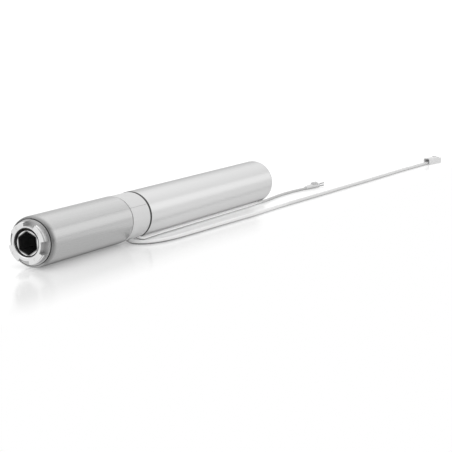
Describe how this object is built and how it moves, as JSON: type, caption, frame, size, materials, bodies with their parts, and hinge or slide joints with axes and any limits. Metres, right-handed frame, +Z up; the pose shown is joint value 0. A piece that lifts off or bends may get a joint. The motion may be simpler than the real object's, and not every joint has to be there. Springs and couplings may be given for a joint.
{
  "type": "venetian blind motor",
  "caption": "Tubular motor for a venetian blind with a hexagonal drive socket, a toothed front crown, a cable collar and pigtail cables with connectors.",
  "frame": {"origin": "on the surface the motor lies on, under its axis, at mid length between the crown's face and the closed end", "axes": "+X along the motor's axis from the drive end to the closed end, +Z up, cables leave towards -Y"},
  "size_m": [0.4794, 0.0496, 0.025],
  "materials": {
    "crown_metal": "cast, its front machined",
    "drive_steel": "bright plated",
    "front_tube_metal": "satin anodised",
    "rear_tube_metal": "satin anodised, lighter",
    "collar_plastic": "satin moulded",
    "tail_plastic": "satin moulded",
    "black_plastic": "fine grain",
    "gear_steel": "cut and tumbled",
    "gear_plastic": "moulded acetal",
    "pin_steel": "ground",
    "bush_bronze": "sintered",
    "can_steel": "plated sheet",
    "magnet_ferrite": "ferrite",
    "copper": "enamelled wire",
    "carbon": "pressed carbon",
    "rubber_black": "moulded",
    "board_green": "solder mask",
    "chip_black": "moulded",
    "shield_metal": "tinned sheet",
    "capacitor_sleeve": "shrink sleeve",
    "lead_insulation": "smooth",
    "cable_grey": "smooth jacket",
    "cable_white": "smooth jacket",
    "plug_grey": "moulded",
    "connector_white": "moulded nylon",
    "contact_metal": "tin plated"
  },
  "bodies": {
    "motor_body": {"crown": "crown_metal", "front_bush": "bush_bronze", "front_tube": "front_tube_metal", "gearbox_housing": "black_plastic", "motor_mount_plate": "can_steel", "motor_screws": "pin_steel", "motor_can": "can_steel", "motor_bearings": "bush_bronze", "motor_magnets": "magnet_ferrite", "motor_end_bell": "black_plastic", "motor_terminals": "contact_metal", "brushes": "carbon", "tube_coupler": "black_plastic", "collar_upper": "collar_plastic", "collar_lower": "collar_plastic", "signal_grommet": "rubber_black", "power_grommet": "rubber_black", "inner_leads": "lead_insulation", "rear_tube": "rear_tube_metal", "tail_cap": "tail_plastic", "tail_seal": "rubber_black", "board_carrier": "black_plastic", "circuit_board": "board_green", "board_screws": "pin_steel", "board_chips": "chip_black", "capacitor": "capacitor_sleeve", "inductor": "chip_black", "radio_module": "shield_metal", "signal_cable": "cable_grey", "signal_plug_boot": "plug_grey", "signal_plug_body": "plug_grey", "signal_plug_cap": "plug_grey", "signal_plug_prongs": "contact_metal", "power_cable": "cable_white", "power_connector_housing": "connector_white", "power_connector_contacts": "contact_metal"},
    "output": {"drive_sleeve": "drive_steel", "retaining_ring": "pin_steel", "planet_carrier_3": "gear_steel", "carrier_pins_3": "pin_steel"},
    "carrier_2": {"planet_carrier_2": "gear_steel", "carrier_pins_2": "pin_steel"},
    "carrier_1": {"planet_carrier_1": "gear_steel", "carrier_pins_1": "pin_steel"},
    "rotor": {"motor_shaft": "pin_steel", "motor_pinion": "bush_bronze", "rotor_core": "can_steel", "rotor_windings": "copper", "commutator": "copper", "encoder_magnet": "magnet_ferrite"},
    "planet_3a": {"planet_gear_3a": "gear_steel"},
    "planet_3b": {"planet_gear_3b": "gear_steel"},
    "planet_3c": {"planet_gear_3c": "gear_steel"},
    "planet_2a": {"planet_gear_2a": "gear_plastic"},
    "planet_2b": {"planet_gear_2b": "gear_plastic"},
    "planet_2c": {"planet_gear_2c": "gear_plastic"},
    "planet_1a": {"planet_gear_1a": "gear_plastic"},
    "planet_1b": {"planet_gear_1b": "gear_plastic"},
    "planet_1c": {"planet_gear_1c": "gear_plastic"}
  },
  "joints": [
    {"name": "output_turn", "type": "hinge", "parent": "motor_body", "child": "output", "pos_m": [-0.108, 0, 0.0125], "axis": [1, 0, 0], "continuous": true},
    {"name": "carrier_2_turn", "type": "hinge", "parent": "motor_body", "child": "carrier_2", "pos_m": [-0.086, 0, 0.0125], "axis": [1, 0, 0], "continuous": true},
    {"name": "carrier_1_turn", "type": "hinge", "parent": "motor_body", "child": "carrier_1", "pos_m": [-0.0783, 0, 0.0125], "axis": [1, 0, 0], "continuous": true},
    {"name": "rotor_turn", "type": "hinge", "parent": "motor_body", "child": "rotor", "pos_m": [-0.06, 0, 0.0125], "axis": [1, 0, 0], "continuous": true},
    {"name": "planet_3a_turn", "type": "hinge", "parent": "output", "child": "planet_3a", "pos_m": [-0.0905, 0.0066, 0.0125], "axis": [1, 0, 0], "continuous": true},
    {"name": "planet_3b_turn", "type": "hinge", "parent": "output", "child": "planet_3b", "pos_m": [-0.0905, -0.0033, 0.01822], "axis": [1, 0, 0], "continuous": true},
    {"name": "planet_3c_turn", "type": "hinge", "parent": "output", "child": "planet_3c", "pos_m": [-0.0905, -0.0033, 0.00678], "axis": [1, 0, 0], "continuous": true},
    {"name": "planet_2a_turn", "type": "hinge", "parent": "carrier_2", "child": "planet_2a", "pos_m": [-0.0822, 0.0066, 0.0125], "axis": [1, 0, 0], "continuous": true},
    {"name": "planet_2b_turn", "type": "hinge", "parent": "carrier_2", "child": "planet_2b", "pos_m": [-0.0822, -0.0033, 0.01822], "axis": [1, 0, 0], "continuous": true},
    {"name": "planet_2c_turn", "type": "hinge", "parent": "carrier_2", "child": "planet_2c", "pos_m": [-0.0822, -0.0033, 0.00678], "axis": [1, 0, 0], "continuous": true},
    {"name": "planet_1a_turn", "type": "hinge", "parent": "carrier_1", "child": "planet_1a", "pos_m": [-0.0749, 0.0066, 0.0125], "axis": [1, 0, 0], "continuous": true},
    {"name": "planet_1b_turn", "type": "hinge", "parent": "carrier_1", "child": "planet_1b", "pos_m": [-0.0749, -0.0033, 0.01822], "axis": [1, 0, 0], "continuous": true},
    {"name": "planet_1c_turn", "type": "hinge", "parent": "carrier_1", "child": "planet_1c", "pos_m": [-0.0749, -0.0033, 0.00678], "axis": [1, 0, 0], "continuous": true}
  ],
  "couplings": [
    {"joint": "carrier_2_turn", "follows": "output_turn", "ratio": 4},
    {"joint": "carrier_1_turn", "follows": "output_turn", "ratio": 16},
    {"joint": "rotor_turn", "follows": "output_turn", "ratio": 64},
    {"joint": "planet_3a_turn", "follows": "output_turn", "ratio": -3},
    {"joint": "planet_3b_turn", "follows": "output_turn", "ratio": -3},
    {"joint": "planet_3c_turn", "follows": "output_turn", "ratio": -3},
    {"joint": "planet_2a_turn", "follows": "output_turn", "ratio": -12},
    {"joint": "planet_2b_turn", "follows": "output_turn", "ratio": -12},
    {"joint": "planet_2c_turn", "follows": "output_turn", "ratio": -12},
    {"joint": "planet_1a_turn", "follows": "output_turn", "ratio": -48},
    {"joint": "planet_1b_turn", "follows": "output_turn", "ratio": -48},
    {"joint": "planet_1c_turn", "follows": "output_turn", "ratio": -48}
  ]
}
